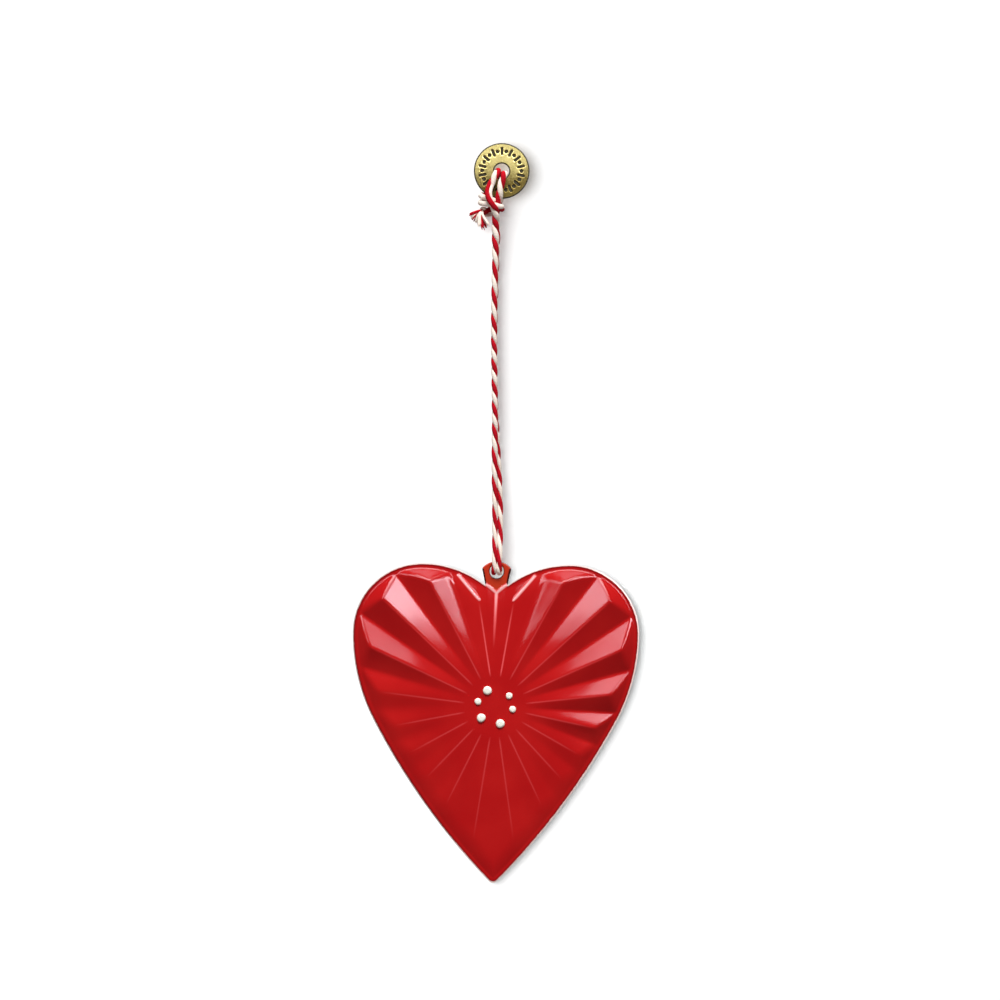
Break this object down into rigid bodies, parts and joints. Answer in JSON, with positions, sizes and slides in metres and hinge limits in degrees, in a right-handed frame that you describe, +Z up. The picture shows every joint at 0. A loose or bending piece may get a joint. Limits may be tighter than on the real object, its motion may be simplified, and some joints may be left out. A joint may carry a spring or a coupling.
{
  "type": "tin heart ornament",
  "caption": "Pressed tin heart with radial flutes and a holed tab, hung on doubled twine from a round holed brass tag, to hang on a nail or hook as a decoration.",
  "frame": {"origin": "centre of the hole in the brass tag, half way through the tag's thickness", "axes": "+Z up along the hanging twine, -Y towards the front of the heart, +X to the right seen from the front"},
  "size_m": [0.0612, 0.0047, 0.158],
  "materials": {
    "aged_brass": "aged, satin, darker in the marks",
    "red_lacquered_tin": "glossy lacquer with a bare metal edge",
    "white_enamel": "glossy domed drops",
    "striped_twine": "red and white twisted cotton"
  },
  "bodies": {
    "tag": {"brass_tag": "aged_brass"},
    "knot": {"twine_tag_strand_left": "striped_twine", "twine_tag_strand_right": "striped_twine", "twine_knot": "striped_twine", "twine_tail_front": "striped_twine", "twine_tail_back": "striped_twine"},
    "upper_twine": {"twine_upper_leg_front": "striped_twine", "twine_upper_leg_back": "striped_twine"},
    "lower_twine": {"twine_lower_leg_left": "striped_twine", "twine_lower_leg_right": "striped_twine"},
    "tab_loop": {"twine_tab_loop": "striped_twine"},
    "heart": {"tin_heart": "red_lacquered_tin", "enamel_drop_1": "white_enamel", "enamel_drop_2": "white_enamel", "enamel_drop_3": "white_enamel", "enamel_drop_4": "white_enamel", "enamel_drop_5": "white_enamel", "enamel_drop_6": "white_enamel"}
  },
  "joints": [
    {"name": "side_swing", "type": "hinge", "parent": "tag", "child": "knot", "pos_m": [0, 0, 0], "axis": [0, -1, 0], "range_deg": [-75, 75]},
    {"name": "fore_aft_swing", "type": "hinge", "parent": "knot", "child": "upper_twine", "pos_m": [-0.0012, 0, -0.0106], "axis": [1, 0, 0], "range_deg": [-60, 60]},
    {"name": "twine_turn", "type": "hinge", "parent": "upper_twine", "child": "lower_twine", "pos_m": [-0.0009, 0, -0.047], "axis": [0, 0, 1], "range_deg": [-180, 180]},
    {"name": "heart_nod", "type": "hinge", "parent": "lower_twine", "child": "tab_loop", "pos_m": [0, 0, -0.076], "axis": [1, 0, 0], "range_deg": [-60, 60]},
    {"name": "heart_rock", "type": "hinge", "parent": "tab_loop", "child": "heart", "pos_m": [0, 0, -0.0855], "axis": [0, -1, 0], "range_deg": [-60, 60]}
  ]
}
